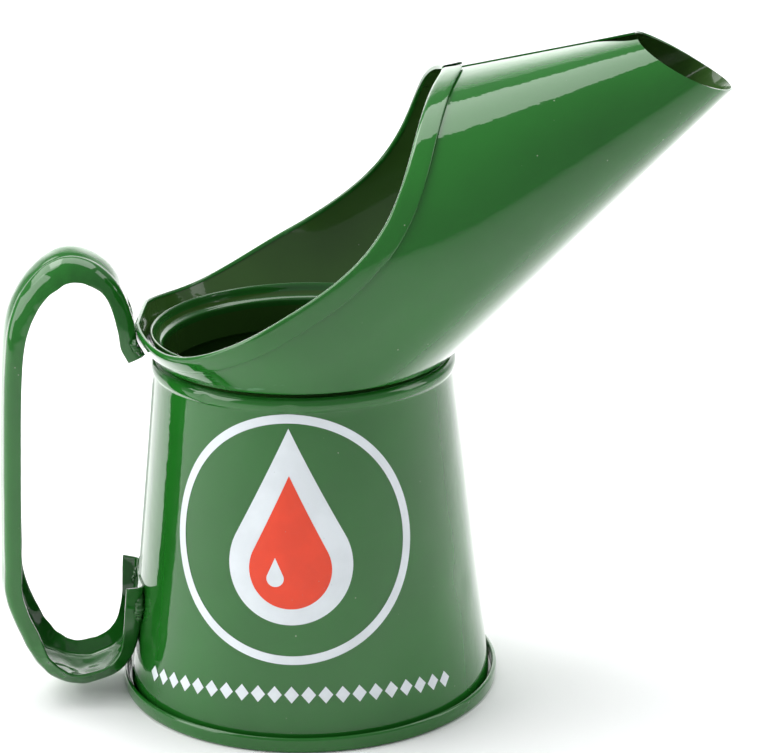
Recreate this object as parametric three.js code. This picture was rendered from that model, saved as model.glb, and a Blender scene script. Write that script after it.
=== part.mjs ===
// A one-litre motor oil pourer of enamelled tinplate: a tapered round can, a base pan crimped
// round its foot, a collar in its neck, a wide wrapped spout that closes to a beak, a hemmed
// mouth, and a channel-section strap handle soldered on behind.
// Millimetres, +Z up. The origin is on the can's axis at the surface that it stands on; the
// spout points along +X and the handle is at -X.
import * as THREE from 'three';
import { mergeVertices } from 'three/addons/utils/BufferGeometryUtils.js';

// ---------------------------------------------------------------- driving dimensions
const SHEET = 0.6;               // painted tinplate
const CLEAR = 0.35;              // gap left between touching pieces
const ROUND_STEPS = 64;          // facets round the can

const BASE_RADIUS = 60.8;        // base pan, outside
const BASE_RIM_HEIGHT = 4.9;
const BASE_RIM_THICK = 1.5;      // the rim is folded over on itself

const WALL_FOOT_RADIUS = 58.5;   // can wall, outside, at its foot
const WALL_FOOT_Z = 1.0;
const WALL_TOP_RADIUS = 47.1;    // can wall, outside, under the neck bead
const WALL_TOP_Z = 105.6;
const BEAD_RADIUS = 48.0;        // rolled bead round the top of the can
const CAN_TOP_Z = 110.1;
const CAN_TOP_BORE = 44.9;       // the wall turns in to this radius

const COLLAR_BORE = 43.8;
const COLLAR_FOOT_Z = 104;
const COLLAR_LIP_Z = 118.6;
const COLLAR_LIP_RADIUS = 47.9;

// The spout is described from the point where its straight lines would meet: `w` is the
// distance back from there along the spout's axis, `drop` the distance below that axis.
const SPOUT_APEX_X = 159.65;
const SPOUT_APEX_Z = 220.65;
const SPOUT_PITCH = 0.4768;      // the axis slopes down towards the can
const SPOUT_HALF_ANGLE = 0.2919; // in side view
const SPOUT_WIDTH_RATIO = 1.344; // width over height of its section
const SPOUT_MAX_HALF_WIDTH = 55.3;
const SPOUT_FOOT_RADIUS = 47.0;  // sheet's middle, where it sits over the neck
const SPOUT_FOOT_Z = 111.7;
const MOUTH_FRONT_W = 112;       // the closed spout opens into the mouth here
const MOUTH_REAR_W = 231.5;
const MOUTH_REAR_HALF_LENGTH = 51.6;
const MOUTH_REAR_HALF_WIDTH = 57.2;
const BEAK_CUT_W = 44.46;        // where the beak's oblique cut crosses the axis
const BEAK_CUT_SLOPE = 0.671;
const SEAM_HALF_GAP = 1.3;       // open slit along the top of the spout
const SEAM_FLARE = 3.4;          // its edges part by this much more at the beak
const SEAM_FLARE_W = 67;

const HEM_WIDTH = 6.0;
const HEM_CLEAR = 0.5;           // the fold stands off the spout by this
const HANDLE_TURN = 0.15;        // the handle sits a little to one side of straight back
const STRAP_WIDTH = 22.4;
const STRAP_DEPTH = 5.8;
const STRAP_CROWN = 1.2;         // the strap's outer face bulges by this
const STRAP_SADDLE = -1.0;       // and is hollowed at its ends, to sit on the round can
const STRAP_SHEET = 0.8;
const STRAP_STATIONS = 46;

const DECAL_THICK = 0.12;
const EMBLEM_RADIUS = 38.9;
const EMBLEM_Z = 66.4;
const EMBLEM_TURN = -0.047;      // round the can from the middle of its side
const BAND_DECAL_Z = 17.9;       // its middle, which drops towards both ends
const BAND_DECAL_SAG = 4.6;      // by this at one radian round
const BAND_DECAL_HALF_HEIGHT = 2.9;
const BAND_DECAL_HALF_TURN = 0.93;

// ---------------------------------------------------------------- materials
const GREEN = 0x1f6b2c;
const DARK_GREEN = 0x16481f;
const WHITE = 0xe8ecef;

function enamel(color) {
  return new THREE.MeshStandardMaterial({ color, roughness: 0.18, metalness: 0.0 });
}

function addPart(group, name, geometry, material) {
  const mesh = new THREE.Mesh(geometry, material);
  mesh.name = name;
  group.add(mesh);
  return mesh;
}

// ---------------------------------------------------------------- shape helpers
const vec3 = (x, y, z) => new THREE.Vector3(x, y, z);
const mix = (a, b, t) => a + (b - a) * t;

function geometryFrom(points, triangles) {
  const geometry = new THREE.BufferGeometry();
  const flat = points.flatMap((p) => [p.x, p.y, p.z]);
  geometry.setAttribute('position', new THREE.Float32BufferAttribute(flat, 3));
  geometry.setIndex(triangles);
  return geometry;
}

// A solid of revolution about Z from a closed outline of [radius, z] pairs.
function turned(outline) {
  const points = outline.map(([r, z]) => new THREE.Vector2(r, z));
  points.push(points[0].clone());
  const geometry = new THREE.LatheGeometry(points, ROUND_STEPS);
  geometry.rotateX(Math.PI / 2);
  return geometry;
}

// Two triangles for every cell of a grid of `rows` by `columns` points.
function gridTriangles(rows, columns) {
  const triangles = [];
  for (let i = 0; i < rows - 1; i += 1) {
    for (let j = 0; j < columns - 1; j += 1) {
      const a = i * columns + j;
      const b = a + 1;
      const c = a + columns;
      const d = c + 1;
      triangles.push(a, b, d, a, d, c);
    }
  }
  return triangles;
}

// Thickens an open sheet: one skin each side of it and a wall round every free edge.
function sheetSolid(points, triangles, outward, inward) {
  const loose = geometryFrom(points, triangles);
  const merged = mergeVertices(loose, 1e-4);
  merged.computeVertexNormals();
  const position = merged.getAttribute('position');
  const normal = merged.getAttribute('normal');
  const index = [...merged.getIndex().array];
  const faces = [];
  for (let k = 0; k < index.length; k += 3) {
    const [a, b, c] = index.slice(k, k + 3);
    if (a !== b && b !== c && c !== a) faces.push([a, b, c]);
  }
  const count = position.count;
  const solid = [];
  for (const offset of [outward, -inward]) {
    for (let k = 0; k < count; k += 1) {
      const p = new THREE.Vector3().fromBufferAttribute(position, k);
      const n = new THREE.Vector3().fromBufferAttribute(normal, k);
      solid.push(p.addScaledVector(n, offset));
    }
  }
  const shell = [];
  const used = new Set();
  for (const [a, b, c] of faces) {
    shell.push(a, b, c, count + a, count + c, count + b);
    for (const [from, to] of [[a, b], [b, c], [c, a]]) used.add(`${from}_${to}`);
  }
  for (const edge of used) {
    const [from, to] = edge.split('_').map(Number);
    if (!used.has(`${to}_${from}`)) shell.push(from, count + from, count + to, from, count + to, to);
  }
  return geometryFrom(solid, shell);
}

// Joins closed sections, all with the same number of points, and caps both ends.
function loft(sections) {
  const sides = sections[0].length;
  const points = sections.flat();
  const triangles = [];
  for (let i = 0; i < sections.length - 1; i += 1) {
    for (let j = 0; j < sides; j += 1) {
      const a = i * sides + j;
      const b = i * sides + ((j + 1) % sides);
      triangles.push(a, b, b + sides, a, b + sides, a + sides);
    }
  }
  const flat = sections[0].map((p) => p.clone());
  const outline = planarOutline(flat);
  const last = (sections.length - 1) * sides;
  for (const [a, b, c] of THREE.ShapeUtils.triangulateShape(outline, [])) {
    triangles.push(a, c, b, last + a, last + b, last + c);
  }
  return facingOut(geometryFrom(points, triangles));
}

// The 2-D outline of a flat section, in the plane that it lies in.
function planarOutline(section) {
  const origin = section[0];
  const along = section[1].clone().sub(origin).normalize();
  let normal = vec3(0, 0, 0);
  for (let j = 1; j < section.length - 1; j += 1) {
    const u = section[j].clone().sub(origin);
    const v = section[j + 1].clone().sub(origin);
    normal.add(u.cross(v));
  }
  normal = normal.normalize();
  const across = normal.clone().cross(along);
  return section.map((p) => {
    const q = p.clone().sub(origin);
    return new THREE.Vector2(q.dot(along), q.dot(across));
  });
}

// Turns every face over if the closed mesh is inside out.
function facingOut(geometry) {
  const position = geometry.getAttribute('position');
  const index = geometry.getIndex().array;
  let volume = 0;
  for (let k = 0; k < index.length; k += 3) {
    const [a, b, c] = [0, 1, 2].map((m) => (
      new THREE.Vector3().fromBufferAttribute(position, index[k + m])));
    volume += a.dot(b.cross(c));
  }
  if (volume < 0) {
    for (let k = 0; k < index.length; k += 3) [index[k], index[k + 1]] = [index[k + 1], index[k]];
  }
  return geometry;
}

// ---------------------------------------------------------------- the can
const WALL_SLOPE = (WALL_FOOT_RADIUS - WALL_TOP_RADIUS) / (WALL_TOP_Z - WALL_FOOT_Z);
const wallRadius = (z) => WALL_FOOT_RADIUS - WALL_SLOPE * (z - WALL_FOOT_Z);

function basePan() {
  const rimInside = BASE_RADIUS - BASE_RIM_THICK;
  return turned([
    [0, 0],
    [BASE_RADIUS - 1.2, 0],
    [BASE_RADIUS - 0.3, 0.35],
    [BASE_RADIUS, 1.1],
    [BASE_RADIUS, BASE_RIM_HEIGHT - 0.7],
    [BASE_RADIUS - 0.5, BASE_RIM_HEIGHT],
    [rimInside + 0.5, BASE_RIM_HEIGHT],
    [rimInside, BASE_RIM_HEIGHT - 0.7],
    [rimInside, SHEET],
    [0, SHEET],
  ]);
}

function bodyShell() {
  const beadZ = (WALL_TOP_Z + CAN_TOP_Z) / 2;
  return turned([
    [WALL_FOOT_RADIUS, WALL_FOOT_Z],
    [WALL_TOP_RADIUS, WALL_TOP_Z],
    [BEAD_RADIUS - 0.2, beadZ - 1],
    [BEAD_RADIUS, beadZ],
    [BEAD_RADIUS - 0.3, beadZ + 1],
    [BEAD_RADIUS - 1.2, CAN_TOP_Z - 0.3],
    [CAN_TOP_BORE + 0.6, CAN_TOP_Z],
    [CAN_TOP_BORE, CAN_TOP_Z],
    [CAN_TOP_BORE, CAN_TOP_Z - SHEET],
    [BEAD_RADIUS - 1.4, CAN_TOP_Z - 0.9],
    [BEAD_RADIUS - 0.7, beadZ],
    [WALL_TOP_RADIUS - SHEET, WALL_TOP_Z],
    [WALL_FOOT_RADIUS - SHEET, WALL_FOOT_Z],
  ]);
}

function neckCollar() {
  const ledgeZ = 114.4;
  return turned([
    [COLLAR_BORE + 0.7, COLLAR_FOOT_Z],
    [COLLAR_BORE + 0.7, CAN_TOP_Z + 0.2],
    [COLLAR_BORE + 2.1, CAN_TOP_Z + 1.4],
    [COLLAR_BORE + 2.2, ledgeZ - 1.2],
    [COLLAR_LIP_RADIUS, COLLAR_LIP_Z - 0.3],
    [COLLAR_LIP_RADIUS - SHEET, COLLAR_LIP_Z],
    [COLLAR_BORE + 1.5, ledgeZ + 0.3],
    [COLLAR_BORE + 0.5, ledgeZ],
    [COLLAR_BORE, ledgeZ - 0.9],
    [COLLAR_BORE, COLLAR_FOOT_Z],
  ]);
}

// ---------------------------------------------------------------- the spout
const COS_PITCH = Math.cos(SPOUT_PITCH);
const SIN_PITCH = Math.sin(SPOUT_PITCH);
const HALF_HEIGHT_RATE = Math.tan(SPOUT_HALF_ANGLE);

// Side-view position of a point on the spout from its distance back and its drop.
function sidePoint(w, drop) {
  return {
    x: SPOUT_APEX_X - (w * COS_PITCH - drop * SIN_PITCH),
    z: SPOUT_APEX_Z - (w * SIN_PITCH + drop * COS_PITCH),
  };
}

// The mouth's rim, as drop below the axis: steep behind the slit, then level, then turned up.
function rimDrop(w) {
  const steep = 34.7 / Math.cosh((w - MOUTH_FRONT_W) / 17.5);
  const upturn = 10.5 * Math.exp((w - MOUTH_REAR_W) / 8);
  return 1 - steep - upturn;
}

// Half width of the closed spout, which stops growing where it meets the mouth.
function tubeHalfWidth(w) {
  const grown = SPOUT_WIDTH_RATIO * HALF_HEIGHT_RATE * w;
  const sharp = 14;
  return (grown ** -sharp + SPOUT_MAX_HALF_WIDTH ** -sharp) ** (-1 / sharp);
}

// Half width at the rim: the tube's, then the round back of the mouth.
function rimHalfWidth(w) {
  const { x } = sidePoint(w, rimDrop(w));
  if (x > 0) return tubeHalfWidth(w);
  const round = Math.sqrt(Math.max(0, 1 - (x / MOUTH_REAR_HALF_LENGTH) ** 2));
  const blend = THREE.MathUtils.smoothstep(-x, 0, 14);
  return mix(tubeHalfWidth(w), MOUTH_REAR_HALF_WIDTH, blend) * round;
}

const angleAt = (w, drop) => Math.acos(THREE.MathUtils.clamp(drop / (w * HALF_HEIGHT_RATE), -1, 1));

function slitAngle(w) {
  const flare = SEAM_FLARE * THREE.MathUtils.smoothstep(SEAM_FLARE_W - w, 0, 12);
  return Math.PI - Math.asin((SEAM_HALF_GAP + flare) / tubeHalfWidth(w));
}

// Where the foot circle lies in the spout's own terms, at `turn` round it from the front.
function footStation(turn) {
  const x = SPOUT_FOOT_RADIUS * Math.cos(turn);
  const back = SPOUT_APEX_X - x;
  const down = SPOUT_APEX_Z - SPOUT_FOOT_Z;
  const w = back * COS_PITCH + down * SIN_PITCH;
  const drop = down * COS_PITCH - back * SIN_PITCH;
  return { w, angle: angleAt(w, drop), halfWidth: SPOUT_FOOT_RADIUS * Math.sin(turn) };
}

function spoutPoint(w, angle, halfWidth) {
  const { x, z } = sidePoint(w, w * HALF_HEIGHT_RATE * Math.cos(angle));
  return vec3(x, halfWidth * Math.sin(angle), z);
}

const BEAK_ROWS = 10;
const SHOULDER_ROWS = 9;
const FOOT_ROWS = 20;
const COLUMNS = 17;
const FOOT_FRONT_W = footStation(0).w;

// One row of the half sheet, from its lower edge (t = 0) to its upper edge (t = 1).
function beakRow(s) {
  return (t) => {
    const around = Math.cos(t * slitAngle(MOUTH_FRONT_W));
    const cut = BEAK_CUT_W / (1 + BEAK_CUT_SLOPE * HALF_HEIGHT_RATE * around);
    const w = mix(cut, MOUTH_FRONT_W, s);
    return spoutPoint(w, t * slitAngle(w), tubeHalfWidth(w));
  };
}

function shoulderStation(s) {
  const w = mix(MOUTH_FRONT_W, FOOT_FRONT_W, s ** 1.5);
  const top = Math.min(angleAt(w, rimDrop(w)), slitAngle(w));
  return { w, top, row: (t) => spoutPoint(w, t * top, tubeHalfWidth(w)) };
}

function footRow(turn) {
  const foot = footStation(turn);
  const rimW = mix(FOOT_FRONT_W, MOUTH_REAR_W, (1 - Math.cos(turn)) / 2);
  const rimAngle = angleAt(rimW, rimDrop(rimW));
  return (t) => {
    const w = mix(foot.w, rimW, t);
    const angle = mix(foot.angle, rimAngle, t);
    const { x, z } = sidePoint(w, w * HALF_HEIGHT_RATE * Math.cos(angle));
    const atFoot = turn === 0 ? tubeHalfWidth(w) : foot.halfWidth / Math.sin(foot.angle);
    const blended = mix(atFoot, rimHalfWidth(rimW), t);
    const likeTube = (1 - THREE.MathUtils.smoothstep(turn, 0, 0.8)) * (1 - (1 - t) ** 8);
    const half = mix(blended, tubeHalfWidth(w), likeTube);
    return vec3(x, turn === Math.PI ? 0 : half * Math.sin(angle), z);
  };
}

function spoutRows() {
  const rows = [];
  for (let i = 0; i < BEAK_ROWS; i += 1) rows.push(beakRow(i / BEAK_ROWS));
  for (let i = 0; i < SHOULDER_ROWS; i += 1) rows.push(shoulderStation(i / SHOULDER_ROWS).row);
  for (let i = 0; i <= FOOT_ROWS; i += 1) rows.push(footRow((i / FOOT_ROWS) * Math.PI));
  return rows;
}

// Both halves of the sheet; `side` is +1 for the +Y half, whose points run the other way.
function mirroredSheet(rows, columns) {
  const points = [];
  const triangles = [];
  for (const side of [-1, 1]) {
    const start = points.length;
    for (const row of rows) {
      for (let j = 0; j < columns; j += 1) {
        const p = row(j / (columns - 1));
        points.push(vec3(p.x, p.y * side, p.z));
      }
    }
    const cells = gridTriangles(rows.length, columns);
    for (let k = 0; k < cells.length; k += 3) {
      const [a, b, c] = cells.slice(k, k + 3).map((m) => m + start);
      if (side < 0) triangles.push(a, b, c);
      else triangles.push(a, c, b);
    }
  }
  return { points, triangles };
}

function spoutShell() {
  const { points, triangles } = mirroredSheet(spoutRows(), COLUMNS);
  return sheetSolid(points, triangles, SHEET / 2, SHEET / 2);
}

// A strip of the closed part's surface that runs square to the rim, from station `i` of it.
function shoulderStrip(i) {
  const count = 2 * SHOULDER_ROWS;
  const tube = (w, angle) => spoutPoint(w, angle, tubeHalfWidth(w));
  const rimAt = (k) => {
    const { w, top } = shoulderStation(THREE.MathUtils.clamp(k, 0, count) / count);
    return tube(w, top);
  };
  const { w, top } = shoulderStation(i / count);
  const along = rimAt(i + 1).sub(rimAt(i - 1));
  const step = 0.01;
  const byW = tube(w + step, top).sub(tube(w, top));
  const byAngle = tube(w, top).sub(tube(w, top - step));
  const shareW = byAngle.dot(along);
  const shareAngle = -byW.dot(along);
  const speed = byW.multiplyScalar(shareW).addScaledVector(byAngle, shareAngle).length() / step;
  return (t) => {
    const reach = (HEM_WIDTH * (1 - t)) / speed;
    return tube(w + shareW * reach, top + shareAngle * reach);
  };
}

// The same strip behind the neck, where it follows the sheet's own rows.
function backStrip(i) {
  const row = footRow((i / FOOT_ROWS) * Math.PI);
  const share = (0.1 * HEM_WIDTH) / row(1).distanceTo(row(0.9));
  return (t) => row(1 - share * (1 - t));
}

// The edge of the mouth is folded out and down against the spout, all the way round it.
function mouthHem() {
  const strips = [];
  for (let i = 0; i < 2 * SHOULDER_ROWS; i += 1) strips.push(shoulderStrip(i));
  for (let i = 0; i <= FOOT_ROWS; i += 1) strips.push(backStrip(i));
  const { points, triangles } = mirroredSheet(strips, 4);
  const gap = SHEET / 2 + HEM_CLEAR;
  return sheetSolid(points, triangles, gap + SHEET, -gap);
}

// ---------------------------------------------------------------- the handle
// The strap's outer corners in side view, from the spout's back, over the arch, down the grip
// and round under it to the can wall.
const STRAP_PATH = new THREE.CatmullRomCurve3([
  vec3(-49.8, 0, 110.5), vec3(-50.6, 0, 114.0), vec3(-52.8, 0, 118.6), vec3(-53.8, 0, 125.0),
  vec3(-57.9, 0, 136.6), vec3(-66.0, 0, 144.0), vec3(-74.6, 0, 145.0), vec3(-84.1, 0, 138.0),
  vec3(-90.2, 0, 126.2), vec3(-92.7, 0, 109), vec3(-94.6, 0, 80), vec3(-96.0, 0, 49.5),
  vec3(-96.1, 0, 36.2), vec3(-92.1, 0, 23.0), vec3(-85.6, 0, 10.9), vec3(-75.4, 0, 6.0),
  vec3(-65.2, 0, 8.0), vec3(-59.3, 0, 13.2), vec3(-56.1, 0, 21.5), vec3(-54.9, 0, 30.5),
  vec3(-54.0, 0, 38.5),
], false, 'centripetal');

// Channel section: [across the strap, inward from its outer corners].
function strapSection(crown) {
  const half = STRAP_WIDTH / 2;
  const inner = half - STRAP_SHEET;
  const outside = [[-half, STRAP_DEPTH], [-half, 1.6], [-half + 1.5, 0.1], [-half / 2, -0.75 * crown]];
  const inside = [[-inner, STRAP_DEPTH], [-inner, 1.9], [-inner + 1.1, STRAP_SHEET + 0.1],
    [-half / 2, STRAP_SHEET - 0.75 * crown]];
  const mirror = (list) => list.map(([a, b]) => [-a, b]).reverse();
  return [
    ...outside, [0, -crown], ...mirror(outside),
    ...mirror(inside).reverse(), [0, STRAP_SHEET - crown], ...inside.reverse(),
  ];
}

// The loop's inward direction at a point of the strap.
function strapInward(u) {
  const along = STRAP_PATH.getTangentAt(u);
  return vec3(-along.z, 0, along.x);
}

function handleStrap() {
  const { smoothstep } = THREE.MathUtils;
  const sections = [];
  for (let i = 0; i <= STRAP_STATIONS; i += 1) {
    const u = i / STRAP_STATIONS;
    const bulging = smoothstep(u, 0.06, 0.14) * smoothstep(1 - u, 0.08, 0.16);
    const outline = strapSection(mix(STRAP_SADDLE, STRAP_CROWN, bulging));
    const centre = STRAP_PATH.getPointAt(u);
    const inward = strapInward(u);
    sections.push(outline.map(([across, depth]) => (
      centre.clone().addScaledVector(inward, depth).add(vec3(0, across, 0)))));
  }
  return loft(sections);
}

// A run of solder in the corner between the strap's edge and the sheet behind it.
function solderRun(side, from, to, bulge) {
  const sections = [];
  const steps = 8;
  for (let i = 0; i <= steps; i += 1) {
    const s = i / steps;
    const centre = STRAP_PATH.getPointAt(mix(from, to, s));
    const radius = bulge * (0.45 + 0.55 * Math.sin(Math.PI * s));
    const ring = [];
    for (let j = 0; j < 8; j += 1) {
      const turn = (j / 8) * 2 * Math.PI;
      const across = side * (STRAP_WIDTH / 2 + CLEAR + radius) + radius * Math.cos(turn);
      ring.push(vec3(centre.x - radius - 0.2 + radius * Math.sin(turn), across, centre.z));
    }
    sections.push(ring);
  }
  return loft(sections);
}

// ---------------------------------------------------------------- the transfers on the can
function onWall(turn, z) {
  const r = wallRadius(z) + CLEAR;
  return vec3(r * Math.sin(turn), -r * Math.cos(turn), z);
}

function emblemDecal() {
  const rings = 4;
  const around = 32;
  const r0 = wallRadius(EMBLEM_Z);
  const points = [];
  for (let i = 0; i <= rings; i += 1) {
    for (let j = 0; j <= around; j += 1) {
      const turn = (j / around) * 2 * Math.PI;
      const reach = EMBLEM_RADIUS * (i / rings);
      points.push(onWall(EMBLEM_TURN + (reach * Math.cos(turn)) / r0, EMBLEM_Z + reach * Math.sin(turn)));
    }
  }
  return sheetSolid(points, gridTriangles(rings + 1, around + 1), 0, DECAL_THICK);
}

function bandDecal() {
  const steps = 28;
  const points = [];
  for (let i = 0; i <= steps; i += 1) {
    const away = mix(-BAND_DECAL_HALF_TURN, BAND_DECAL_HALF_TURN, i / steps);
    const z = BAND_DECAL_Z - BAND_DECAL_SAG * away * away;
    points.push(onWall(EMBLEM_TURN + away, z - BAND_DECAL_HALF_HEIGHT));
    points.push(onWall(EMBLEM_TURN + away, z + BAND_DECAL_HALF_HEIGHT));
  }
  return sheetSolid(points, gridTriangles(steps + 1, 2), 0, DECAL_THICK);
}

// ---------------------------------------------------------------- the assembly
const can = new THREE.Group();
addPart(can, 'base_pan', facingOut(basePan()), enamel(GREEN));
addPart(can, 'body_shell', facingOut(bodyShell()), enamel(GREEN));
addPart(can, 'neck_collar', facingOut(neckCollar()), enamel(DARK_GREEN));
addPart(can, 'spout_shell', facingOut(spoutShell()), enamel(GREEN));
addPart(can, 'mouth_hem', facingOut(mouthHem()), enamel(GREEN));
const handle = new THREE.Group();
handle.rotation.z = HANDLE_TURN;
can.add(handle);
addPart(handle, 'handle_strap', handleStrap(), enamel(GREEN));
for (const [side, label] of [[-1, 'right'], [1, 'left']]) {
  addPart(handle, `upper_solder_${label}`, solderRun(side, 0.008, 0.032, 1.2), enamel(DARK_GREEN));
  addPart(handle, `lower_solder_${label}`, solderRun(side, 0.95, 0.985, 1.4), enamel(DARK_GREEN));
}
addPart(can, 'emblem_decal', facingOut(emblemDecal()), enamel(WHITE));
addPart(can, 'band_decal', facingOut(bandDecal()), enamel(WHITE));

export default can;
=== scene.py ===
"""Visual model of the motor oil pourer, on the CAD frame, in metres."""
import math
import bmesh
import bpy
from mathutils import Matrix, Vector, noise


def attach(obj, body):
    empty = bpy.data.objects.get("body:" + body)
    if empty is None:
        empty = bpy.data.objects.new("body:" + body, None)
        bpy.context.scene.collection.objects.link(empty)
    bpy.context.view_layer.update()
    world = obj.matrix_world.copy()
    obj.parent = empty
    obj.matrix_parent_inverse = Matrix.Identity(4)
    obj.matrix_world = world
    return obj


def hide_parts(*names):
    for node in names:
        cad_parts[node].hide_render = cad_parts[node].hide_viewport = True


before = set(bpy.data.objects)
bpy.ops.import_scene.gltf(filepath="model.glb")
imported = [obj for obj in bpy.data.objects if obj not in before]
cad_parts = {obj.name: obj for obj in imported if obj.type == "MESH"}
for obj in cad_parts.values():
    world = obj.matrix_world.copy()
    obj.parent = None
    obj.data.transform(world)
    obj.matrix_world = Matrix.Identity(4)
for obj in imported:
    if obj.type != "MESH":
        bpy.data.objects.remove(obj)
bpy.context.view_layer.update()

MM = 0.001
TAU = 2 * math.pi

# ---------------------------------------------------------------- dimensions, millimetres
SHEET, STRAP_SHEET = 0.6, 0.8
WALL_FOOT = (58.5, 1.0)
WALL_TOP = (47.1, 105.6)
APEX_X, APEX_Z = 159.65, 220.65
PITCH, HALF_ANGLE = 0.4768, 0.2919
WIDTH_RATIO, MAX_HALF_WIDTH = 1.344, 55.3
FOOT_RADIUS, FOOT_Z = 47.0, 111.7
FRONT_W, REAR_W = 112.0, 231.5
REAR_HALF_LENGTH, REAR_HALF_WIDTH = 51.6, 57.2
CUT_W, CUT_SLOPE = 44.46, 0.671
SHOULDER_RISE, SHOULDER_LENGTH = 34.7, 17.5
HEEL_RISE, HEEL_LENGTH = 10.5, 8
TUBE_BLEND = 14
SEAM_HALF_GAP, NEAR_FLARE, FAR_FLARE, FLARE_W = 1.3, 5.0, 0.8, 69.0
HANDLE_TURN = 0.15
STRAP_HALF = 11.2
STRAP_DEPTH = 5.8
STRAP_CROWN = 1.2
STRAP_SADDLE = -1.0
EMBLEM_RADIUS, EMBLEM_Z, EMBLEM_TURN = 38.9, 66.4, -0.047
BAND_Z, BAND_SAG = 17.9, 4.6
LOZENGE_HALF_WIDTH, LOZENGE_HALF_HEIGHT, LOZENGE_PITCH, LOZENGES_PER_SIDE = 2.05, 2.7, 4.75, 10
PRINT_LIFT, PRINT_LAYER = 0.10, 0.04

GREEN = (0.013, 0.138, 0.014, 1)
GREEN_DEEP = (0.015, 0.108, 0.015, 1)
# Darker green for every inner skin: painted shade for the shaded insides of the spout, collar and
# can
INSIDE_SHADE = (0.036, 0.096, 0.018, 1)
WHITE = (0.72, 0.77, 0.80, 1)
ORANGE = (0.78, 0.042, 0.003, 1)
DUST = (0.42, 0.46, 0.36, 1)
PINHOLE = (0.25, 0.33, 0.26, 1)
CARD = (0.93, 0.93, 0.93, 1)
ROOM = (0.95, 0.97, 1.0, 1)


# ---------------------------------------------------------------- shader helpers
def new_material(name):
    mat = bpy.data.materials.new(name)
    mat.use_nodes = True
    tree = mat.node_tree
    tree.nodes.clear()
    return mat, tree


def add(tree, kind, **sockets):
    node = tree.nodes.new(kind)
    for key, value in sockets.items():
        node.inputs[key.replace("_", " ")].default_value = value
    return node


def ramp(tree, source, stops):
    node = tree.nodes.new("ShaderNodeValToRGB")
    tree.links.new(source, node.inputs[0])
    elements = node.color_ramp.elements
    while len(elements) < len(stops):
        elements.new(0.5)
    for element, (place, value) in zip(elements, stops):
        element.position = place
        element.color = (value, value, value, 1)
    return node.outputs["Color"]


def blend(tree, factor, low, high):
    node = tree.nodes.new("ShaderNodeMix")
    node.data_type = "RGBA"
    tree.links.new(factor, node.inputs[0])
    for socket, value in ((node.inputs[6], low), (node.inputs[7], high)):
        if isinstance(value, tuple):
            socket.default_value = value
        else:
            tree.links.new(value, socket)
    return node.outputs[2]


def scaled(tree, source, low, high):
    node = tree.nodes.new("ShaderNodeMapRange")
    node.inputs["To Min"].default_value = low
    node.inputs["To Max"].default_value = high
    tree.links.new(source, node.inputs["Value"])
    return node.outputs["Result"]


def texture(tree, kind, scale, **more):
    """A procedural texture that stays fixed to the object."""
    node = add(tree, kind, Scale=scale, **more)
    place = tree.nodes.new("ShaderNodeTexCoord").outputs["Object"]
    tree.links.new(place, node.inputs["Vector"])
    return node


def times(tree, first, second):
    node = tree.nodes.new("ShaderNodeMath")
    node.operation = "MULTIPLY"
    tree.links.new(first, node.inputs[0])
    tree.links.new(second, node.inputs[1])
    return node.outputs[0]


def relief(tree, height, strength, distance):
    node = add(tree, "ShaderNodeBump", Strength=strength, Distance=distance)
    tree.links.new(height, node.inputs["Height"])
    return node


def darker(colour, share):
    return tuple(c * share for c in colour[:3]) + (1,)


def varnished(tree, colour, specular, coat, coat_roughness):
    """A painted surface under a clear coat, linked to the material's output."""
    shader = add(tree, "ShaderNodeBsdfPrincipled", Metallic=0.0, IOR=1.5,
                 Specular_IOR_Level=specular, Coat_Weight=coat, Coat_Roughness=coat_roughness)
    tree.links.new(colour, shader.inputs["Base Color"])
    to_output(tree, shader)
    return shader


def to_output(tree, shader):
    out = tree.nodes.new("ShaderNodeOutputMaterial")
    tree.links.new(shader.outputs[0], out.inputs["Surface"])


def enamel(name, colour, worn, rough=0.06, peel=0.08, dust=0.6, wear=0.35, coat=0.82):
    """Glossy stoved paint: mottled colour, orange peel, dust specks and rubbed edges."""
    mat, tree = new_material(name)
    link = tree.links.new
    broad = texture(tree, "ShaderNodeTexNoise", 18, Detail=3)
    mottle = ramp(tree, broad.outputs[0], [(0.35, 0), (0.68, 1)])
    base = blend(tree, mottle, darker(colour, 0.78), colour)

    patchy = texture(tree, "ShaderNodeTexNoise", 60, Detail=6, Roughness=0.7)
    cells = texture(tree, "ShaderNodeTexVoronoi", 260)
    specks = times(tree, ramp(tree, cells.outputs["Distance"], [(0.035, dust), (0.075, 0)]),
                   ramp(tree, patchy.outputs[0], [(0.56, 0), (0.6, 1)]))
    dusty = blend(tree, specks, base, DUST)

    edge = tree.nodes.new("ShaderNodeNewGeometry").outputs["Pointiness"]
    ragged = texture(tree, "ShaderNodeTexNoise", 420, Detail=4)
    rubbed = times(tree, ramp(tree, edge, [(0.56, 0), (0.66, wear)]),
                   ramp(tree, ragged.outputs[0], [(0.42, 0), (0.62, 1)]))
    shader = varnished(tree, blend(tree, rubbed, dusty, worn), 0.15, coat, 0.03)

    smear = texture(tree, "ShaderNodeTexNoise", 35, Detail=5, Distortion=1.2)
    link(scaled(tree, smear.outputs[0], rough * 0.6, rough * 2.0), shader.inputs["Roughness"])
    fine = texture(tree, "ShaderNodeTexNoise", 240, Detail=2)
    wave = texture(tree, "ShaderNodeTexNoise", 40, Detail=1)
    peel_bump = relief(tree, fine.outputs[0], peel, 0.0006)
    wave_bump = relief(tree, wave.outputs[0], peel * 2, 0.001)
    link(peel_bump.outputs[0], wave_bump.inputs["Normal"])
    link(wave_bump.outputs[0], shader.inputs["Normal"])
    link(peel_bump.outputs[0], shader.inputs["Coat Normal"])
    return mat


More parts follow.
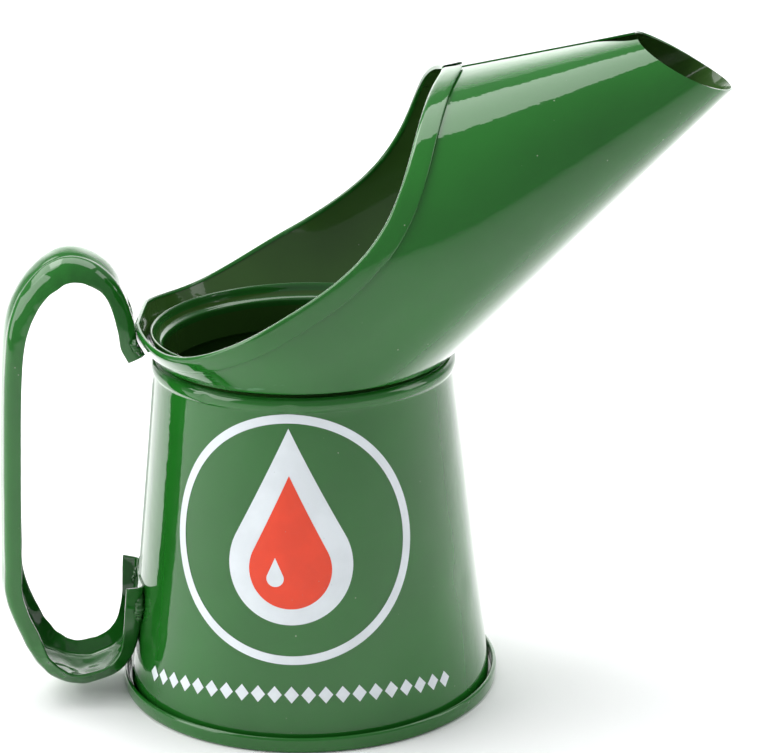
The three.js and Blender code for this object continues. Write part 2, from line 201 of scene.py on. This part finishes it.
def printed(name, colour):
    """Screen-printed colour under clear varnish: slight mottling and worn pinholes."""
    mat, tree = new_material(name)
    grain = texture(tree, "ShaderNodeTexNoise", 90, Detail=5)
    mottle = ramp(tree, grain.outputs[0], [(0.4, 0), (0.6, 1)])
    base = blend(tree, mottle, darker(colour, 0.93), colour)
    holes = texture(tree, "ShaderNodeTexVoronoi", 330)
    pin = ramp(tree, holes.outputs["Distance"], [(0.03, 0.35), (0.06, 0)])
    shader = varnished(tree, blend(tree, pin, base, PINHOLE), 0.2, 0.6, 0.06)
    roughness = scaled(tree, grain.outputs[0], 0.16, 0.3)
    tree.links.new(roughness, shader.inputs["Roughness"])
    return mat


enamel_out = enamel("green_enamel", GREEN, (0.10, 0.28, 0.13, 1))
enamel_neck = enamel("neck_enamel", GREEN_DEEP, (0.08, 0.2, 0.1, 1), rough=0.09)
# Inner skins: the green enamel darkened as painted shade, with its own wear and dust
enamel_in_shade = enamel("inside_painted_shade", INSIDE_SHADE, (0.03, 0.07, 0.03, 1), rough=0.12, dust=0.3, wear=0.2,
                   coat=0.5)
enamel_solder = enamel("painted_solder", GREEN_DEEP, (0.2, 0.26, 0.2, 1), rough=0.2, peel=0.4)
print_white = printed("white_print", WHITE)
print_orange = printed("orange_print", ORANGE)


# ---------------------------------------------------------------- mesh helpers
def made(name, points, faces, materials, picks=None):
    """A smooth-shaded object from points in millimetres; `picks` are the faces' materials."""
    mesh = bpy.data.meshes.new(name)
    mesh.from_pydata([Vector(p) * MM for p in points], [], faces)
    for mat in materials:
        mesh.materials.append(mat)
    if picks:
        for polygon, pick in zip(mesh.polygons, picks):
            polygon.material_index = pick
    work = bmesh.new()
    work.from_mesh(mesh)
    bmesh.ops.remove_doubles(work, verts=work.verts, dist=1e-6)
    work.to_mesh(mesh)
    work.free()
    mesh.polygons.foreach_set("use_smooth", [True] * len(mesh.polygons))
    piece = bpy.data.objects.new(name, mesh)
    bpy.context.collection.objects.link(piece)
    return piece


def outward(piece):
    """Turns every face of a closed piece to point out of it."""
    work = bmesh.new()
    work.from_mesh(piece.data)
    bmesh.ops.recalc_face_normals(work, faces=work.faces)
    work.to_mesh(piece.data)
    work.free()
    return piece


def softened(piece, width):
    """Rounds the sharp edges a little and evens out the shading."""
    bevel = piece.modifiers.new("edges", "BEVEL")
    bevel.width = width * MM
    bevel.segments = 2
    bevel.limit_method = "ANGLE"
    bevel.angle_limit = 0.7
    even = piece.modifiers.new("even", "WEIGHTED_NORMAL")
    even.keep_sharp = False
    return piece


def thickened(piece, thick, offset=0, inner=0):
    """Gives a sheet its thickness; `inner` is added to the material index on its back."""
    solid = piece.modifiers.new("sheet", "SOLIDIFY")
    solid.thickness = thick * MM
    solid.offset = offset
    solid.use_even_offset = True
    solid.material_offset = inner
    return piece


def grid_faces(rows, columns, start=0, flip=False):
    faces = []
    for i in range(rows - 1):
        for j in range(columns - 1):
            a = start + i * columns + j
            face = (a, a + 1, a + columns + 1, a + columns)
            faces.append(face[::-1] if flip else face)
    return faces


def lathe(name, outline, materials, steps=256, warp=None):
    """Turns an outline of (radius, z, material) about Z; the last point joins the first."""
    points, faces, picks = [], [], []
    count = len(outline)
    for i in range(steps):
        turn = TAU * i / steps
        for radius, z, _ in outline:
            r = radius + (warp(turn, z, radius) if warp else 0)
            points.append((r * math.sin(turn), -r * math.cos(turn), z))
    for i in range(steps):
        for j in range(count):
            k = (j + 1) % count
            if outline[j][0] == 0 and outline[k][0] == 0:
                continue
            a, b = i * count, ((i + 1) % steps) * count
            faces.append((a + j, b + j, b + k, a + k))
            picks.append(outline[j][2])
    return softened(outward(made(name, points, faces, materials, picks)), 0.12)


def finer(outline, step):
    """The same closed outline with extra points so that no side is longer than `step`."""
    out = []
    for here, there in zip(outline, outline[1:] + outline[:1]):
        length = math.dist(here[:2], there[:2])
        cuts = max(1, math.ceil(length / step))
        for c in range(cuts):
            t = c / cuts
            out.append((mix(here[0], there[0], t), mix(here[1], there[1], t), here[2]))
    return out


def mix(a, b, t):
    return a + (b - a) * t


def smooth(t, low=0.0, high=1.0):
    t = min(1.0, max(0.0, (t - low) / (high - low)))
    return t * t * (3 - 2 * t)


def plateau(t, low, full, ebb, end):
    """Rises from 0 at `low` to 1 at `full`, and falls from 1 at `ebb` to 0 at `end`."""
    return smooth(t, low, full) * (1 - smooth(t, ebb, end))


def bump(x, y, wide, high):
    return math.exp(-(x / wide) ** 2 - (y / high) ** 2)


# ---------------------------------------------------------------- the can
KNOCKS = [  # turn, z, depth, spread round the can in radians, spread up it
    (-0.045, 106.8, 0.7, 0.05, 1.3), (-0.62, 108.0, 0.5, 0.05, 1.2),
    (1.15, 40, 0.25, 0.10, 6), (-1.9, 70, 0.2, 0.08, 5),
]
SEAM_RISE, SEAM_EDGE, SEAM_FLAT = 0.38, 0.052, 0.045
WALL_SLOPE = (WALL_FOOT[0] - WALL_TOP[0]) / (WALL_TOP[1] - WALL_FOOT[1])


def wall_radius(z):
    return WALL_FOOT[0] - WALL_SLOPE * (z - WALL_FOOT[1])


def centred(turn):
    """The same turn between -pi and pi."""
    return (turn + math.pi) % TAU - math.pi


def wall_warp(turn, z, _radius):
    """Hand-beaten unevenness, small knocks and the upright seam behind the handle."""
    around = Vector((math.sin(turn) * 1.3, math.cos(turn) * 1.3, z * 0.02))
    uneven = 0.16 * noise.noise(around) + 0.05 * noise.noise(around * 4)
    knocks = sum(depth * bump(centred(turn) - at_turn, z - at_z, wide, high)
                 for at_turn, at_z, depth, wide, high in KNOCKS)
    from_seam = centred(turn - math.pi * 1.5 - HANDLE_TURN)
    seam = SEAM_RISE * plateau(from_seam, -SEAM_EDGE, -SEAM_FLAT, SEAM_FLAT, SEAM_EDGE)
    return uneven * smooth(z, 0, 12) - knocks + seam * plateau(z, 4, 7, 103, 105)


def base_warp(turn, _z, radius):
    around = Vector((math.sin(turn) * 2, math.cos(turn) * 2, 3.0))
    return -0.12 * (1 + noise.noise(around)) * smooth(radius, 50, 60)


base_pan = lathe("base_pan_look", finer([
    (0, 0.5, 0), (54, 0.5, 0), (56.5, 0.4, 0), (57.5, 0.0, 0), (59.6, 0.0, 0), (60.45, 0.3, 0),
    (60.8, 1.1, 0), (60.8, 3.9, 0), (60.65, 4.5, 0), (60.3, 4.85, 0), (59.8, 4.9, 0),
    (59.4, 4.6, 0), (59.25, 4.0, 0), (59.2, 1.2, 1), (57, 0.95, 1), (0, 1.0, 1),
], 3.0), [enamel_out, enamel_in_shade], warp=base_warp)

wall_outline = [
    (58.45, 1.0, 0), (47.12, 105.2, 0), (47.2, 105.7, 0), (47.75, 106.2, 0), (48.0, 107.0, 0),
    (48.0, 107.9, 0), (47.85, 108.8, 0), (47.3, 109.6, 0), (46.4, 110.05, 0), (45.3, 110.1, 0),
    (44.9, 109.8, 1), (44.9, 109.5, 1), (46.4, 109.2, 1), (47.2, 108.2, 1), (47.2, 107, 1),
    (46.6, 105.6, 1), (57.9, 1.0, 1),
]
body_shell = lathe("body_shell_look", finer(wall_outline, 1.6), [enamel_out, enamel_in_shade],
                   steps=400, warp=wall_warp)

neck_collar = lathe("neck_collar_look", finer([
    (44.5, 104.0, 1), (44.5, 110.3, 0), (45.7, 111.3, 0), (46.0, 112.4, 0), (46.2, 113.4, 0),
    (47.8, 117.9, 0), (47.75, 118.5, 0), (47.3, 118.65, 0), (46.7, 118.1, 0), (46.1, 116.2, 1),
    (45.3, 114.9, 0), (44.6, 114.5, 0), (44.1, 114.2, 0), (43.8, 113.6, 0), (43.8, 112, 1),
    (43.8, 104.0, 1),
], 1.6), [enamel_neck, enamel_in_shade])


# ---------------------------------------------------------------- the spout
COS_P, SIN_P, RATE = math.cos(PITCH), math.sin(PITCH), math.tan(HALF_ANGLE)


def side_point(w, drop):
    """The x and z of a place `w` down the spout's axis from its apex and `drop` under it."""
    return APEX_X - (w * COS_P - drop * SIN_P), APEX_Z - (w * SIN_P + drop * COS_P)


def rim_drop(w):
    """How far below the spout's axis the mouth's rim lies: high at the shoulder and the heel."""
    shoulder = SHOULDER_RISE / math.cosh((w - FRONT_W) / SHOULDER_LENGTH)
    return 1 - shoulder - HEEL_RISE * math.exp((w - REAR_W) / HEEL_LENGTH)


def tube_half(w):
    """Half the spout's width: a cone that flattens off smoothly to the widest it gets."""
    cone = WIDTH_RATIO * RATE * w
    return (cone ** -TUBE_BLEND + MAX_HALF_WIDTH ** -TUBE_BLEND) ** (-1 / TUBE_BLEND)


def rim_half(w):
    """Half the mouth's width at its rim, which is rounded off behind the can's axis."""
    x, _ = side_point(w, rim_drop(w))
    if x > 0:
        return tube_half(w)
    rounding = math.sqrt(max(0.0, 1 - (x / REAR_HALF_LENGTH) ** 2))
    return mix(tube_half(w), REAR_HALF_WIDTH, smooth(-x, 0, 14)) * rounding


def angle_at(w, drop):
    return math.acos(min(1.0, max(-1.0, drop / (w * RATE))))


def slit_angle(w, side=-1):
    """Where the edges along the spout's top stop; the near one turns away at the beak."""
    flare = NEAR_FLARE if side < 0 else FAR_FLARE
    gap = SEAM_HALF_GAP + flare * smooth(FLARE_W - w, 0, 12)
    return math.pi - math.asin(gap / tube_half(w))


def spout_point(w, angle, half):
    x, z = side_point(w, w * RATE * math.cos(angle))
    return Vector((x, half * math.sin(angle), z))


def tube_point(w, angle):
    return spout_point(w, angle, tube_half(w))


def foot_station(turn):
    """Where the spout stands on the neck, `turn` round from the front: w, angle, half width."""
    back = APEX_X - FOOT_RADIUS * math.cos(turn)
    down = APEX_Z - FOOT_Z
    w = back * COS_P + down * SIN_P
    return w, angle_at(w, down * COS_P - back * SIN_P), FOOT_RADIUS * math.sin(turn)


FOOT_FRONT_W = foot_station(0)[0]


def beak_row(s, t, side):
    """From the belly to the slit, `s` of the way from the oblique beak to the shoulder."""
    cut = CUT_W / (1 + CUT_SLOPE * RATE * math.cos(t * slit_angle(FRONT_W)))
    w = mix(cut, FRONT_W, s)
    return tube_point(w, t * slit_angle(w, side))


def shoulder_rim(s):
    w = mix(FRONT_W, FOOT_FRONT_W, s ** 1.5)
    return w, min(angle_at(w, rim_drop(w)), slit_angle(w))


def shoulder_row(s, t):
    """From the belly to the mouth's rim, `s` of the way from the shoulder to the neck's front."""
    w, top = shoulder_rim(s)
    return tube_point(w, t * top)


def foot_row(turn, t):
    """From the neck up to the rim, `turn` round from the front, where it runs into the tube."""
    foot_w, foot_angle, foot_half = foot_station(turn)
    rim_w = mix(FOOT_FRONT_W, REAR_W, (1 - math.cos(turn)) / 2)
    w = mix(foot_w, rim_w, t)
    angle = mix(foot_angle, angle_at(rim_w, rim_drop(rim_w)), t)
    x, z = side_point(w, w * RATE * math.cos(angle))
    # Straight ahead, the foot's half width and the sine are both zero.
    at_foot = tube_half(w) if turn < 0.02 else foot_half / math.sin(foot_angle)
    half = mix(at_foot, rim_half(rim_w), t)
    half = mix(half, tube_half(w), (1 - smooth(turn, 0, 0.8)) * (1 - (1 - t) ** 8))
    return Vector((x, 0 if turn > math.pi - 1e-4 else half * math.sin(angle), z))


def both_halves(name, rows, columns, materials):
    """A sheet from rows that run from the belly up to the rim, and its mirror image."""
    points, faces = [], []
    for side in (-1, 1):
        start = len(points)
        for row in rows:
            for j in range(columns):
                p = row(j / (columns - 1), side)
                points.append((p.x, p.y * side, p.z))
        faces += grid_faces(len(rows), columns, start, side > 0)
    return made(name, points, faces, materials)


BEAK, SHOULDER, FOOT, COLUMNS = 40, 44, 96, 72
spout_rows = [lambda t, side, s=i / BEAK: beak_row(s, t, side) for i in range(BEAK)]
spout_rows += [lambda t, side, s=i / SHOULDER: shoulder_row(s, t) for i in range(SHOULDER)]
spout_rows += [lambda t, side, a=math.pi * i / FOOT: foot_row(a, t) for i in range(FOOT + 1)]
spout_shell = both_halves("spout_shell_look", spout_rows, COLUMNS, [enamel_out, enamel_in_shade])
# The spout's back skin takes the darkened inside enamel: painted shade
thickened(spout_shell, SHEET, inner=1)
softened(spout_shell, 0.15)


# ---------------------------------------------------------------- the folded rim
NUDGE = 0.01
ROW_SAMPLE = 0.05
SHOULDER_STATIONS = 70


def shoulder_station(s):
    """A function for points `d` in from the rim, and the normal, on the mouth's front part."""
    w, top = shoulder_rim(s)
    ahead, behind = shoulder_rim(min(1, s + NUDGE)), shoulder_rim(max(0, s - NUDGE))
    along = tube_point(*ahead) - tube_point(*behind)
    by_w = tube_point(w + NUDGE, top) - tube_point(w, top)
    by_angle = tube_point(w, top) - tube_point(w, top - NUDGE)
    share_w, share_angle = by_angle.dot(along), -by_w.dot(along)
    speed = (by_w * share_w + by_angle * share_angle).length / NUDGE

    def at(d):
        return tube_point(w + share_w * d / speed, top + share_angle * d / speed)
    return at, by_angle.cross(by_w).normalized()


def back_station(turn):
    """The same for the part of the rim that lies over the can, `turn` round from the front."""
    edge = foot_row(turn, 1)
    share = ROW_SAMPLE / (edge - foot_row(turn, 1 - ROW_SAMPLE)).length
    by_turn = edge - foot_row(turn - NUDGE, 1)
    by_t = edge - foot_row(turn, 1 - NUDGE)

    def at(d):
        return foot_row(turn, 1 - d * share)
    return at, by_t.cross(by_turn).normalized()


HEM_SECTION = [  # distance in from the rim's edge, height over the sheet's middle
    (6.0, 0.72), (6.03, 1.15), (5.8, 1.34), (4.6, 1.4), (3.2, 1.4), (1.8, 1.42), (0.7, 1.4),
    (0.0, 1.22), (-0.4, 0.85), (-0.55, 0.4), (-0.5, -0.05), (-0.2, -0.4), (0.4, -0.5),
    (0.9, -0.42), (0.8, -0.1), (0.9, 0.45), (2.4, 0.8), (4.4, 0.72),
]


def rim_hem():
    stations = [shoulder_station(i / SHOULDER_STATIONS) for i in range(SHOULDER_STATIONS)]
    stations += [back_station(math.pi * i / FOOT) for i in range(FOOT + 1)]
    points, faces = [], []
    n = len(HEM_SECTION)
    for side in (-1, 1):
        start = len(points)
        for at, normal in stations:
            edge = at(0)
            into = (at(0.5) - edge).normalized()
            if normal.dot(Vector((-20, edge.y, 25))) < 0:
                normal = -normal
            for d, height in HEM_SECTION:
                p = (at(d) if d > 0 else edge + into * d) + normal * height
                points.append((p.x, p.y * side, p.z))
        rows = len(stations)
        for i in range(rows - 1):
            for j in range(n):
                a, b = start + i * n + j, start + i * n + (j + 1) % n
                faces.append((a, b, b + n, a + n))
        faces.append(tuple(range(start, start + n)))
    return outward(made("mouth_hem_look", points, faces, [enamel_out]))


mouth_hem = softened(rim_hem(), 0.08)

# ---------------------------------------------------------------- the handle
STRAP_STEPS = 300
FINE_STEPS = 5 * STRAP_STEPS
DIRECTION_WINDOW = 40
SOLDER_PATH_STEPS = 400
STRAP_PATH = [  # x, z of the web's middle, from the spout over the arch and down to the can
    (-49.8, 110.5), (-50.6, 114.0), (-52.8, 118.6), (-53.8, 125.0), (-57.9, 136.6),
    (-66.0, 144.0), (-74.6, 145.0), (-84.1, 138.0), (-90.2, 126.2), (-92.7, 109), (-94.6, 80),
    (-96.0, 49.5), (-96.1, 36.2), (-92.1, 23.0), (-85.6, 10.9), (-75.4, 6.0), (-65.2, 8.0),
    (-59.3, 13.2), (-56.1, 21.5), (-54.9, 30.5), (-54.0, 38.5),
]


def path_point(path, u):
    """Catmull-Rom through the path's points, with `u` from 0 to 1."""
    spans = len(path) - 1
    k = min(spans - 1, int(u * spans))
    t = u * spans - k
    p0, p1, p2, p3 = (Vector(path[min(spans, max(0, k + m))]) for m in (-1, 0, 1, 2))
    return 0.5 * ((2 * p1) + (p2 - p0) * t + (2 * p0 - 5 * p1 + 4 * p2 - p3) * t * t
                  + (3 * p1 - p0 - 3 * p2 + p3) * t ** 3)


def even_steps(path, count):
    """Points at equal distances along the path."""
    fine = [path_point(path, i / 1200) for i in range(1201)]
    travelled = [0.0]
    for a, b in zip(fine, fine[1:]):
        travelled.append(travelled[-1] + (b - a).length)
    out, k = [], 0
    for i in range(count + 1):
        goal = travelled[-1] * i / count
        while k < len(fine) - 2 and travelled[k + 1] < goal:
            k += 1
        t = (goal - travelled[k]) / (travelled[k + 1] - travelled[k])
        out.append(fine[k].lerp(fine[k + 1], t))
    return out


def strap_section(crown, depth, lean, narrow, curl):
    """Half section across the strap: crowned web, rounded corner, flange leaning out by `lean`.

    The web is `narrow` less wide on this side, and the flange curls back by `curl` radians
    towards its free edge.
    """
    corner = 2.3
    middle = (STRAP_HALF - corner - narrow, corner)
    out = [((middle[0] - 0.3) * a / 8, -crown * (1 - (a / 8) ** 2)) for a in range(9)]
    swing = math.pi / 2 - lean
    for k in range(1, 8):
        a = swing * k / 7
        out.append((middle[0] + corner * math.sin(a), middle[1] - corner * math.cos(a)))
    across, deep = out[-1]
    run = (depth - corner) / 6
    for k in range(6):
        slant = lean - curl * k / 5
        across += run * math.sin(slant)
        deep += run * math.cos(slant)
        out.append((across, deep))
    return out


def flared_end(u):
    return smooth(u, 0.95, 1.0)


def strap_side(u):
    """Half section at a share `u` of the strap's length, from its upper end."""
    arch = plateau(u, 0.06, 0.19, 0.20, 0.35)
    splay = plateau(u, 0.03, 0.12, 0.22, 0.35)
    under = plateau(u, 0.70, 0.78, 0.9, 0.96)
    end = flared_end(u)
    crown = mix(STRAP_SADDLE, STRAP_CROWN, plateau(u, 0.06, 0.14, 0.84, 0.92))
    depth = 4.9 + 1.7 * splay + 3.7 * arch + 1.9 * under + 1.2 * end
    lean = 0.06 + 1.04 * splay + 0.62 * under + 0.25 * end
    return strap_section(crown, depth, lean, narrow=3.0 * splay, curl=0.9 * splay)


def strap():
    path = even_steps(STRAP_PATH, FINE_STEPS)
    points = []
    for i in range(STRAP_STEPS + 1):
        u = i / STRAP_STEPS
        half = strap_side(u)
        section = [(-a, b) for a, b in half[:0:-1]] + half
        widened = 1 + 0.16 * flared_end(u)
        creased = bump(u - 0.78, 0, 0.07, 1) + 0.3 * bump(u - 0.2, 0, 0.07, 1)
        for a, b in section:
            oblique = 0.008 * (1 - a / STRAP_HALF) * (1 - u) ** 6
            k = min(FINE_STEPS - 1, max(1, round(FINE_STEPS * mix(oblique, 1, u))))
            here = path[k]
            reachable = min(DIRECTION_WINDOW, k, FINE_STEPS - k)
            along = (path[k + reachable] - path[k - reachable]).normalized()
            inward = Vector((-along.y, along.x))
            at = Vector((here.x * 0.09, a * 0.12, here.y * 0.09))
            ripple = 0.12 * noise.noise(at) + 0.7 * creased * noise.noise(at * 2.2)
            flange = max(0.0, b) / STRAP_DEPTH
            across = a * widened + (0.15 + 0.8 * creased) * flange * noise.noise(at * 3)
            reach = b + ripple
            points.append((here.x + inward.x * reach, across, here.y + inward.y * reach))
    return made("handle_strap_look", points, grid_faces(STRAP_STEPS + 1, len(section)),
                [enamel_out])


turned = Matrix.Rotation(HANDLE_TURN, 4, "Z")
handle_strap = strap()
handle_strap.data.transform(turned)
thickened(handle_strap, STRAP_SHEET, offset=1)
softened(handle_strap, 0.15)


def solder(name, side, low, high, bulge):
    """A lumpy run of painted solder beside the strap, `low` to `high` along its path."""
    path = even_steps(STRAP_PATH, SOLDER_PATH_STEPS)
    points, faces = [], []
    steps, ring = 26, 18
    for i in range(steps + 1):
        s = i / steps
        here = path[round(SOLDER_PATH_STEPS * mix(low, high, s))]
        radius = bulge * (0.2 + 0.8 * math.sin(math.pi * s) ** 0.6)
        for j in range(ring):
            turn = TAU * j / ring
            lump = 1 + 0.35 * noise.noise(Vector((s * 7, math.cos(turn), math.sin(turn) + side)))
            r = radius * lump
            across = side * (STRAP_HALF + 0.5 + radius * 0.6) + r * math.cos(turn)
            points.append((here.x + 0.2 - radius * 0.5 + r * math.sin(turn), across, here.y))
    for i in range(steps):
        for j in range(ring):
            a, b = i * ring + j, i * ring + (j + 1) % ring
            faces.append((a, b, b + ring, a + ring))
    faces += [tuple(range(ring)), tuple(range(steps * ring, (steps + 1) * ring))]
    blob = outward(made(name, points, faces, [enamel_solder]))
    blob.data.transform(turned)
    return blob


solders = {}
for label, side in (("right", -1), ("left", 1)):
    shift = 0.007 * side
    for end, low, high, bulge in (("upper", 0.011 - shift, 0.036 - shift, 1.3),
                                  ("lower", 0.95, 0.99, 1.5)):
        node = f"{end}_solder_{label}"
        solders[node] = solder(f"{node}_look", side, low, high, bulge)


# ---------------------------------------------------------------- printed decoration
def on_wall(u, z, lift):
    """A point `u` millimetres round the can from the emblem's middle, `lift` off the wall."""
    turn = EMBLEM_TURN + u / wall_radius(EMBLEM_Z)
    r = wall_radius(z)
    r += wall_warp(turn % TAU, z, r) + lift
    return (r * math.sin(turn), -r * math.cos(turn), z)


def star_patch(outline, centre, lift, rings=12, inner=0.0):
    """A patch that fills an outline seen from its centre, or a ring if `inner` is over 0."""
    n = len(outline)
    points, faces = [], []
    for i in range(rings + 1):
        t = mix(inner, 1, i / rings)
        for a, b in outline:
            points.append(on_wall(mix(centre[0], a, t), mix(centre[1], b, t), lift))
    for i in range(rings):
        for j in range(n):
            a, b = i * n + j, i * n + (j + 1) % n
            faces.append((a, b, b + n, a + n))
    return points, faces


def droplet(cx, cz, radius, tip, steps=96):
    """Outline of an oil drop: a round bulb drawn up to a point `tip` above its centre."""
    touch = math.acos(radius / tip)
    out = []
    for i in range(steps):
        a = TAU * i / steps
        off = abs(centred(a - math.pi / 2))
        r = radius / math.cos(touch - off) if off < touch else radius
        out.append((cx + r * math.cos(a), cz + r * math.sin(a)))
    return out


def combined(name, patches, materials):
    """One object from patches, each with the index of its material."""
    points, faces, picks = [], [], []
    for (more_points, more_faces), pick in patches:
        start = len(points)
        points += more_points
        faces += [tuple(k + start for k in face) for face in more_faces]
        picks += [pick] * len(more_faces)
    return made(name, points, faces, materials, picks)


def circle(radius, cz, steps=180):
    turns = [TAU * i / steps for i in range(steps)]
    return [(radius * math.cos(a), cz + radius * math.sin(a)) for a in turns]


def drop_patch(cx, cz, radius, tip, layer):
    return star_patch(droplet(cx, cz, radius, tip), (cx, cz), PRINT_LIFT + PRINT_LAYER * layer)


ring = star_patch(circle(EMBLEM_RADIUS, EMBLEM_Z), (0, EMBLEM_Z), PRINT_LIFT, 2, 0.93)
emblem_decal = combined("emblem_decal_look", [
    (ring, 0),
    (drop_patch(0, 59, 19, 42, 0), 0),
    (drop_patch(0, 57.5, 12.5, 29, 1), 1),
    (drop_patch(-4.5, 54.5, 2.6, 6.5, 2), 0),
], [print_white, print_orange])


def lozenge_row():
    """White lozenges along a shallow arc round the foot of the can."""
    patches = []
    for k in range(-LOZENGES_PER_SIDE, LOZENGES_PER_SIDE + 1):
        u = k * LOZENGE_PITCH
        z = BAND_Z - BAND_SAG * (u / wall_radius(EMBLEM_Z)) ** 2
        outline = [(u + LOZENGE_HALF_WIDTH, z), (u, z + LOZENGE_HALF_HEIGHT),
                   (u - LOZENGE_HALF_WIDTH, z), (u, z - LOZENGE_HALF_HEIGHT)]
        patches.append((star_patch(outline, (u, z), PRINT_LIFT, 2), 0))
    return combined("band_decal_look", patches, [print_white])


band_decal = lozenge_row()

# ---------------------------------------------------------------- the frame
looks = {
    "base_pan": (base_pan, "green_enamel"),
    "body_shell": (body_shell, "green_enamel"),
    "neck_collar": (neck_collar, "dark_enamel"),
    "spout_shell": (spout_shell, "green_enamel"),
    "mouth_hem": (mouth_hem, "green_enamel"),
    "handle_strap": (handle_strap, "green_enamel"),
    "emblem_decal": (emblem_decal, "white_print"),
    "band_decal": (band_decal, "white_print"),
}
for node, blob in solders.items():
    looks[node] = (blob, "painted_solder")
for node, (piece, finish) in looks.items():
    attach(piece, "root")
    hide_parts(node)


# ---------------------------------------------------------------- stage, light and camera
def stage_material(name, colour):
    mat, tree = new_material(name)
    grain = texture(tree, "ShaderNodeTexNoise", 6, Detail=4)
    tone = blend(tree, grain.outputs[0], darker(colour, 0.985), colour)
    shader = add(tree, "ShaderNodeBsdfPrincipled", Roughness=0.75, Metallic=0.0)
    tree.links.new(tone, shader.inputs["Base Color"])
    to_output(tree, shader)
    return mat


def sweep_floor():
    """A pale sheet of card that lies under the can and curves up far behind it."""
    half_width, under, front, bend_y, bend, top = 2600, -0.05, -1800, 1600, 500, 2600
    profile = [(front, 0), (bend_y, 0)]
    for k in range(1, 8):
        a = 0.2 * k
        profile.append((bend_y + bend * math.sin(a), bend - bend * math.cos(a)))
    profile.append((bend_y + bend, top))
    points, faces = [], []
    for y, z in profile:
        points += [(-half_width, y, z + under), (half_width, y, z + under)]
    for i in range(len(profile) - 1):
        faces.append((2 * i, 2 * i + 1, 2 * i + 3, 2 * i + 2))
    return made("floor", points, faces, [stage_material("card", CARD)])


def softbox(name, where, aim, wide, high, power):
    light = bpy.data.lights.new(name, "AREA")
    light.shape = "RECTANGLE"
    light.size = wide
    light.size_y = high
    light.energy = power
    lamp = bpy.data.objects.new(name, light)
    lamp.location = where
    lamp.rotation_euler = (Vector(aim) - Vector(where)).to_track_quat("-Z", "Y").to_euler()
    bpy.context.collection.objects.link(lamp)
    return lamp


sweep_floor()
softbox("left_box", (-1.5, -0.62, 0.75), (0, 0, 0.1), 1.0, 1.3, 16)
softbox("right_box", (1.6, 0.1, 0.9), (0, 0, 0.1), 0.7, 1.2, 7)
softbox("top_box", (0.0, 0.36, 1.7), (0, 0.1, 0), 2.5, 0.85, 25)
softbox("arch_box", (-1.15, 0.3, 1.4), (0, 0, 0.1), 1.1, 1.1, 14)
softbox("back_wash", (0, 1.1, 1.3), (0, 2.1, 1.25), 2.5, 0.8, 40)
world = bpy.data.worlds.new("room")
world.use_nodes = True
background = world.node_tree.nodes["Background"]
background.inputs["Color"].default_value = ROOM
background.inputs["Strength"].default_value = 0.43
bpy.context.scene.world = world

lens = bpy.data.cameras.new("camera")
lens.lens = 127.07
lens.sensor_width = 36
lens.sensor_fit = "HORIZONTAL"
camera = bpy.data.objects.new("camera", lens)
bpy.context.collection.objects.link(camera)
right = Vector((0.9996118, 0.02485282, -0.01259312))
up = Vector((0.00410993, 0.31551451, 0.94891185))
back = Vector((0.02755645, -0.94859524, 0.31528988))
eye = Vector((0.047124, -0.801446, 0.367841))
camera.matrix_world = Matrix((
    (right.x, up.x, back.x, eye.x),
    (right.y, up.y, back.y, eye.y),
    (right.z, up.z, back.z, eye.z),
    (0, 0, 0, 1),
))
scene = bpy.context.scene
scene.camera = camera
scene.render.resolution_x = 759
scene.render.resolution_y = 753
scene.view_settings.view_transform = "Standard"
scene.view_settings.exposure = 0
